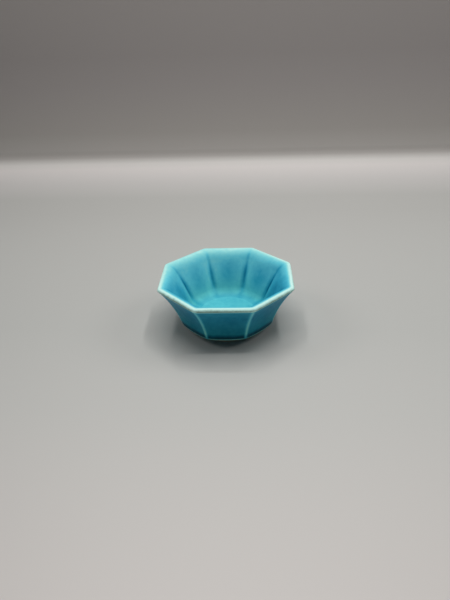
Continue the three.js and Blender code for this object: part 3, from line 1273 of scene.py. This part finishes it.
@dataclass(frozen=True)
class BenchFinish(Finish):
    """The plain pale floor and the duller wall behind it, which run into each other without a hard line.
    Both carry painted light and shade.

    Stops are colours on the screen, and paint the light and shade: brighter to the front, a bright band
    before the wall's foot, a dip at the foot and darker up the wall. Their places are millimetres from
    front to back along the floor, and then on up the wall, where a millimetre of height counts as three.
    The lean is that of the wall's foot. To the sides the floor is painted darker, as painted shade, by its
    angle as seen from the side shade's origin in front.
    """

    name: str = "studio_floor"
    rise_share: float = 3.0
    lean: float = 0.0208
    start: float = -200.0
    end: float = 1100.0
    # Painted shade to the sides of the floor.
    side_shade: float = 0.33
    side_shade_middle: float = 0.08
    side_shade_origin: float = -370.0
    side_shade_least: float = 0.65
    roughness: float = 0.9
    specular: float = 0.1
    # Painted light and shade along the floor and up the wall.
    stops: ScreenStops = (
        (-190.0, (218, 213, 209)), (-90.0, (200, 199, 195)), (-10.0, (190, 190, 186)),
        (205.0, (183, 182, 178)), (250.0, (184, 183, 179)), (305.0, (201, 198, 195)),
        (365.0, (222, 217, 214)), (390.0, (217, 214, 210)), (420.0, (175, 171, 167)),
        (436.0, (171, 167, 163)), (450.0, (184, 181, 177)), (520.0, (171, 167, 163)),
        (700.0, (160, 155, 153)), (800.0, (154, 149, 147)), (1100.0, (155, 150, 147)),
    )

    def surface(self, graph: Graph, place: Signal) -> dict[str, Any]:
        """Make the shader's inputs, from how far back and how far aside each point lies.

        Args:
            graph: The material's node tree.
            place: The point's place on the object.

        Returns:
            Values and signals by the names of the inputs.
        """
        across = graph.add("ShaderNodeSeparateXYZ", None, {0: place}, "X")
        back = graph.add("ShaderNodeSeparateXYZ", None, {0: place}, "Y") + across * self.lean
        height = graph.add("ShaderNodeSeparateXYZ", None, {0: place}, "Z")
        span = self.end - self.start
        along = (back + height * self.rise_share - self.start * MM) * (1.0 / (span * MM))
        # The floor is painted darker to the sides, as painted shade.
        reach = (back - self.side_shade_origin * MM).at_least(-self.side_shade_origin * MM / 2)
        aside = across * reach**-1.0 - self.side_shade_middle
        side_light = (1.0 - aside * aside * self.side_shade).at_least(self.side_shade_least)
        stops = [((at - self.start) / span, linear(*level)) for at, level in self.stops]
        return {
            "Base Color": graph.multiply(graph.ramp(stops, along), side_light),
            "Roughness": self.roughness,
            "Specular IOR Level": self.specular,
        }


def set_up(name: str, data: bpy.types.ID) -> bpy.types.Object:
    """Set up a lamp or a camera in the scene.

    Args:
        name: Its name.
        data: Its settings.

    Returns:
        The object, still at the origin.
    """
    item = bpy.data.objects.new(name, data)
    bpy.context.scene.collection.objects.link(item)
    return item


@dataclass(frozen=True)
class Lamp:
    """One lamp: where it stands and how wide it is, in millimetres, and its power.

    A lamp with a strip's depth is a level strip; any other is a soft disc.
    """

    name: str
    place: tuple[float, float, float]
    width: float
    power: float
    strip_depth: float = 0.0

    def hang(self, aim: Vector) -> None:
        """Hang the lamp.

        Args:
            aim: The point that it faces, in metres.
        """
        data = bpy.data.lights.new(self.name, "AREA")
        data.shape = "RECTANGLE" if self.strip_depth else "DISK"
        data.size = self.width * MM
        if self.strip_depth:
            data.size_y = self.strip_depth * MM
        data.energy = self.power
        lamp = set_up(self.name, data)
        lamp.location = Vector(self.place) * MM
        lamp.rotation_euler = (aim - lamp.location).to_track_quat("-Z", "Y").to_euler()


@dataclass(frozen=True)
class Studio:
    """The floor and wall, the lamps and the soft light all round.

    Sizes are in millimetres. The floor is turned about the bowl by some degrees.
    """

    floor_half_width: float = 1500.0
    floor_front: float = -1200.0
    floor_back: float = 412.0
    wall_height: float = 360.0
    sweep: float = 12.0
    sweep_steps: int = 6
    turn: float = -1.19
    ambient: float = 0.05
    lamps: tuple[Lamp, ...] = (
        Lamp("lamp_rear", (-6.0, 366.0, 822.0), 709.0, 1.27),
        Lamp("lamp_side_left", (-668.0, 23.0, 602.0), 376.0, 0.98),
        Lamp("lamp_side_right", (666.0, 58.0, 602.0), 379.0, 1.18),
        Lamp("strip_left", (-221.0, 45.0, 900.0), 484.0, 1.22, 10.0),
        Lamp("strip_right", (278.0, 45.0, 900.0), 484.0, 1.76, 10.0),
        Lamp("strip_rear", (27.0, 285.0, 900.0), 484.0, 1.02, 10.0),
        Lamp("strip_front", (27.0, -192.0, 900.0), 484.0, 1.22, 10.0),
    )

    def build(self, finish: BenchFinish) -> None:
        """Lay the floor, raise the wall and hang the lamps.

        Args:
            finish: The finish of the floor and the wall.
        """
        work = Workpiece("studio_floor", bpy.ops.mesh.primitive_plane_add, size=2 * MM)
        work.choose_all()
        depth = self.floor_back - self.floor_front
        bpy.ops.transform.resize(
            value=(self.floor_half_width, depth / 2, 1.0), center_override=(0.0, 0.0, 0.0)
        )
        work.move(0.0, self.floor_front + depth / 2, 0.0)
        back = (self.floor_back - SLACK) * MM
        work.choose(Pick.EDGE, lambda edge: all(v.co.y > back for v in edge.verts))
        bpy.ops.mesh.extrude_region_move()
        work.move(0.0, 0.0, self.wall_height)
        low = SLACK * MM
        work.choose(Pick.EDGE, lambda edge: all(v.co.y > back and v.co.z < low for v in edge.verts))
        bpy.ops.mesh.bevel(offset=self.sweep * MM, segments=self.sweep_steps)
        work.choose_all()
        work.turn(math.radians(self.turn))
        floor = work.finish()
        floor.data.materials.append(finish.material())
        aim = Vector((0.0, 0.0, 0.0))
        for lamp in self.lamps:
            lamp.hang(aim)
        world = bpy.data.worlds.new("studio_air")
        bpy.context.scene.world = world
        world.use_nodes = True
        graph = Graph(world.node_tree)
        light = {"Color": (1.0, 1.0, 1.0, 1.0), "Strength": self.ambient}
        air = graph.add("ShaderNodeBackground", None, light)
        graph.add("ShaderNodeOutputWorld", None, {"Surface": air})


@dataclass(frozen=True)
class Viewpoint:
    """Where the camera stands: its height angle, its tilt and its turn about the bowl, in degrees.

    The distance, the aim, the lens and the sensor are in millimetres. It sees from near to far, in metres.
    """

    elevation: float = 30.706
    roll: float = -2.251
    yaw: float = -3.179
    distance: float = 291.48
    aim: tuple[float, float, float] = (0.312, -30.841, 34.7)
    lens: float = 30.0
    sensor: float = 36.0
    near: float = 0.01
    far: float = 20.0

    def place_camera(self) -> None:
        """Make the scene's camera."""
        data = bpy.data.cameras.new("view_camera")
        data.lens = self.lens
        data.sensor_width = self.sensor
        data.clip_start = self.near
        data.clip_end = self.far
        camera = set_up("view_camera", data)
        bpy.context.scene.camera = camera
        tilt = math.radians(self.elevation)
        forward = Vector((0.0, math.cos(tilt), -math.sin(tilt)))
        upward = Vector((0.0, math.sin(tilt), math.cos(tilt)))
        across = Vector((1.0, 0.0, 0.0))
        roll = math.radians(self.roll)
        right = across * math.cos(roll) + upward * math.sin(roll)
        up = upward * math.cos(roll) - across * math.sin(roll)
        turn = Matrix.Rotation(math.radians(-self.yaw), 3, "Z")
        place = Vector(self.aim) - turn @ (forward * self.distance)
        columns = Matrix((turn @ right, turn @ up, turn @ -forward)).transposed()
        camera.matrix_world = Matrix.Translation(place * MM) @ columns.to_4x4()


def set_picture() -> None:
    """Show colours as they are written."""
    bpy.context.scene.view_settings.view_transform = "Standard"


def dress_clay(finish: ClayFinish) -> None:
    """Give the packed clay body its finish.

    Args:
        finish: The clay's finish.
    """
    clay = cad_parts["clay_body"]
    clay.data.materials.clear()
    clay.data.materials.append(finish.material())


def main() -> None:
    """Build the bowl's looks in order, and report each piece."""
    logging.basicConfig(level=logging.INFO, format="%(name)s: %(message)s")
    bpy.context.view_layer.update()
    glaze = GlazeFinish()
    clay = ClayFinish()
    dress_clay(clay)
    GlazedWall().build(glaze)
    FootRing().build(clay)
    FootWellGlaze().build(glaze)
    Studio().build(BenchFinish())
    Viewpoint().place_camera()
    set_picture()


if __name__ == "__main__":
    main()
